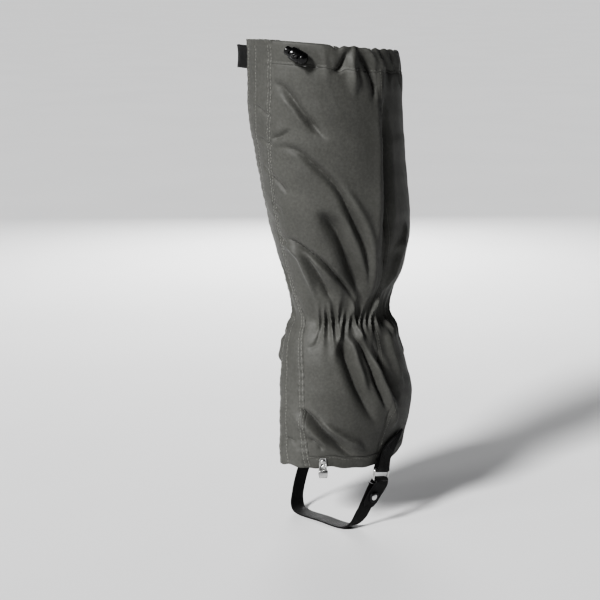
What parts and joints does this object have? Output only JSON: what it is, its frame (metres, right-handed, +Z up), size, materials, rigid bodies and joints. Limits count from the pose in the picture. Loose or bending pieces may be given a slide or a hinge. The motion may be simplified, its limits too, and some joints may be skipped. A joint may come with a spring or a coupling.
{
  "type": "walking gaiter",
  "caption": "Knee-high fabric walking gaiter for a left leg with a front flap, elastic ankle, drawcord rim, lace hook and instep strap.",
  "frame": {"origin": "centre of the lower opening, in the plane of the bottom hem", "axes": "+Z up the leg, -Y towards the toe, +X towards the outer side of the left leg"},
  "size_m": [0.1424, 0.2008, 0.5143],
  "materials": {
    "shell_fabric": "woven nylon, slightly satin",
    "inner_tape": "coated binding tape",
    "hook_and_loop": "matt, fuzzy",
    "black_webbing": "close woven webbing",
    "black_cord": "braided",
    "elastic": "knitted elastic",
    "black_plastic": "glossy",
    "steel": "bright nickel plate",
    "dark_metal": "black oxide"
  },
  "bodies": {
    "shaft": {"front_outer_panel": "shell_fabric", "rear_panel": "shell_fabric", "front_inner_panel": "shell_fabric", "outer_seam_tape": "inner_tape", "inner_seam_tape": "inner_tape", "front_flap_lower": "shell_fabric", "hook_tape_lower": "hook_and_loop", "loop_tape": "hook_and_loop", "rim_casing": "shell_fabric", "cord_eyelet": "black_plastic", "drawcord": "black_cord", "ankle_elastic": "elastic", "elastic_cover": "inner_tape", "bottom_hem": "shell_fabric", "lace_hook": "steel", "hook_rivet": "steel", "outer_strap_tab": "black_webbing", "instep_strap": "black_webbing"},
    "flap": {"front_flap_upper": "shell_fabric", "hook_tape_upper": "hook_and_loop", "pull_tab": "black_webbing"},
    "cord_lock": {"cord_lock_barrel": "black_plastic", "cord_lock_spring": "steel"},
    "plunger": {"cord_lock_plunger": "black_plastic"},
    "buckle": {"strap_ring": "steel", "buckle_strap": "black_webbing", "snap_stud": "steel"},
    "loose_end": {"strap_tip": "black_webbing", "snap_cap": "dark_metal"}
  },
  "joints": [
    {"name": "flap_peel", "type": "hinge", "parent": "shaft", "child": "flap", "pos_m": [-0.00347, -0.09499, 0.33], "axis": [0.087, -0.0602, 0.9944], "range_deg": [0, 105]},
    {"name": "cord_lock_slide", "type": "slide", "parent": "shaft", "child": "cord_lock", "axis": [0.5306, -0.847, -0.0325], "range_m": [0, 0.004]},
    {"name": "plunger_press", "type": "slide", "parent": "cord_lock", "child": "plunger", "axis": [0.7473, 0.4855, -0.4538], "range_m": [0, 0.0034], "stiffness_N_per_m": 900, "springref_m": -0.002, "deforming": ["cord_lock_spring"]},
    {"name": "buckle_swing", "type": "hinge", "parent": "shaft", "child": "buckle", "pos_m": [0.0574, 0.00479, -0.01043], "axis": [0, -0.9781, 0.2079], "range_deg": [0, 20]},
    {"name": "loose_end_open", "type": "hinge", "parent": "buckle", "child": "loose_end", "pos_m": [0.0617, 0.00214, -0.02291], "axis": [0, -0.9781, 0.2079], "range_deg": [0, 100]}
  ]
}
